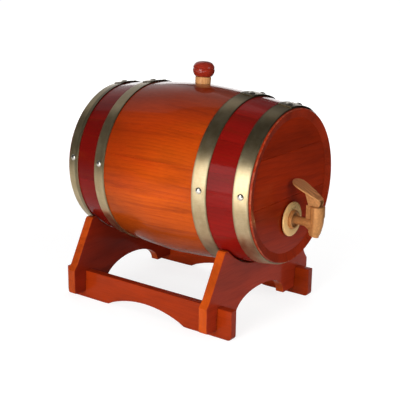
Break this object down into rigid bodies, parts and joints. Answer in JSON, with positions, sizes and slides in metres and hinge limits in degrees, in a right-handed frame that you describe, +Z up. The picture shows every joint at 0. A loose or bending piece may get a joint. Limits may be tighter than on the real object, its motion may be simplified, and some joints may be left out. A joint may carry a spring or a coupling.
{
  "type": "oak wine barrel with tap on cradle stand",
  "caption": "Small varnished oak table barrel with brass-coloured hoops, a turned bung and a cam-lever tap, lying on a low two-cradle wooden stand.",
  "frame": {"origin": "centre of the footprint of the whole object on the floor", "axes": "+X points out of the tapped head along the barrel, +Y to the far side, +Z up"},
  "size_m": [0.3092, 0.221, 0.2929],
  "materials": {
    "oak_stave": "glossy orange-brown varnish, redder between the end hoops",
    "oak_head": "glossy red-brown varnish",
    "oak_stand": "glossy red-brown varnish with orange edges",
    "hoop_metal": "satin antique brass plated steel strap",
    "nail_metal": "polished domed nail heads",
    "bare_wood": "unvarnished pale wood",
    "varnished_knob": "glossy red-brown varnish",
    "tap_brass": "satin tan-gold finish on cast metal",
    "tap_flange_brass": "smooth satin gold",
    "tap_steel": "plain turned steel",
    "rubber": "matte black"
  },
  "bodies": {
    "stand": {"cradle_front": "oak_stand", "cradle_rear": "oak_stand", "rail_near": "oak_stand", "rail_far": "oak_stand"},
    "barrel": {"stave_bung": "oak_stave", "stave_01": "oak_stave", "stave_02": "oak_stave", "stave_03": "oak_stave", "stave_04": "oak_stave", "stave_05": "oak_stave", "stave_06": "oak_stave", "stave_07": "oak_stave", "stave_08": "oak_stave", "stave_09": "oak_stave", "stave_10": "oak_stave", "stave_11": "oak_stave", "stave_12": "oak_stave", "stave_13": "oak_stave", "stave_14": "oak_stave", "stave_15": "oak_stave", "head_front_lower": "oak_head", "head_front_middle": "oak_head", "head_front_upper": "oak_head", "head_rear_lower": "oak_head", "head_rear_middle": "oak_head", "head_rear_upper": "oak_head", "hoop_front_end": "hoop_metal", "hoop_front_quarter": "hoop_metal", "hoop_rear_quarter": "hoop_metal", "hoop_rear_end": "hoop_metal", "nail_front_end_near": "nail_metal", "nail_front_end_far": "nail_metal", "rivet_front_end_a": "nail_metal", "rivet_front_end_b": "nail_metal", "nail_front_quarter_near": "nail_metal", "nail_front_quarter_far": "nail_metal", "rivet_front_quarter_a": "nail_metal", "rivet_front_quarter_b": "nail_metal", "nail_rear_quarter_near": "nail_metal", "nail_rear_quarter_far": "nail_metal", "rivet_rear_quarter_a": "nail_metal", "rivet_rear_quarter_b": "nail_metal", "nail_rear_end_near": "nail_metal", "nail_rear_end_far": "nail_metal", "rivet_rear_end_a": "nail_metal", "rivet_rear_end_b": "nail_metal", "tap_gasket_outer": "rubber", "tap_flange": "tap_flange_brass", "tap_body": "tap_brass", "tap_bonnet_bush": "tap_brass", "tap_gasket_inner": "rubber", "tap_nut_inner": "tap_brass"},
    "bung": {"bung_plug": "bare_wood", "bung_knob": "varnished_knob"},
    "valve": {"tap_stem": "tap_steel", "tap_seal": "rubber", "tap_spring": "tap_steel"},
    "lever": {"tap_lever": "tap_brass"}
  },
  "joints": [
    {"name": "barrel_lift", "type": "slide", "parent": "stand", "child": "barrel", "axis": [0, 0, 1], "range_m": [0, 0.12]},
    {"name": "bung_pull", "type": "slide", "parent": "barrel", "child": "bung", "axis": [0, 0.0872, 0.9962], "range_m": [0, 0.035]},
    {"name": "valve_lift", "type": "slide", "parent": "barrel", "child": "valve", "axis": [0, 0, 1], "range_m": [0, 0.003], "stiffness_N_per_m": 12, "springref_m": -0.004, "deforming": ["tap_spring"]},
    {"name": "lever_turn", "type": "hinge", "parent": "valve", "child": "lever", "pos_m": [0.14605, 0, 0.1488], "axis": [0, 1, 0], "range_deg": [0, 90]}
  ],
  "couplings": [
    {"joint": "valve_lift", "follows": "lever_turn", "m_per_rad": 0.00185}
  ]
}
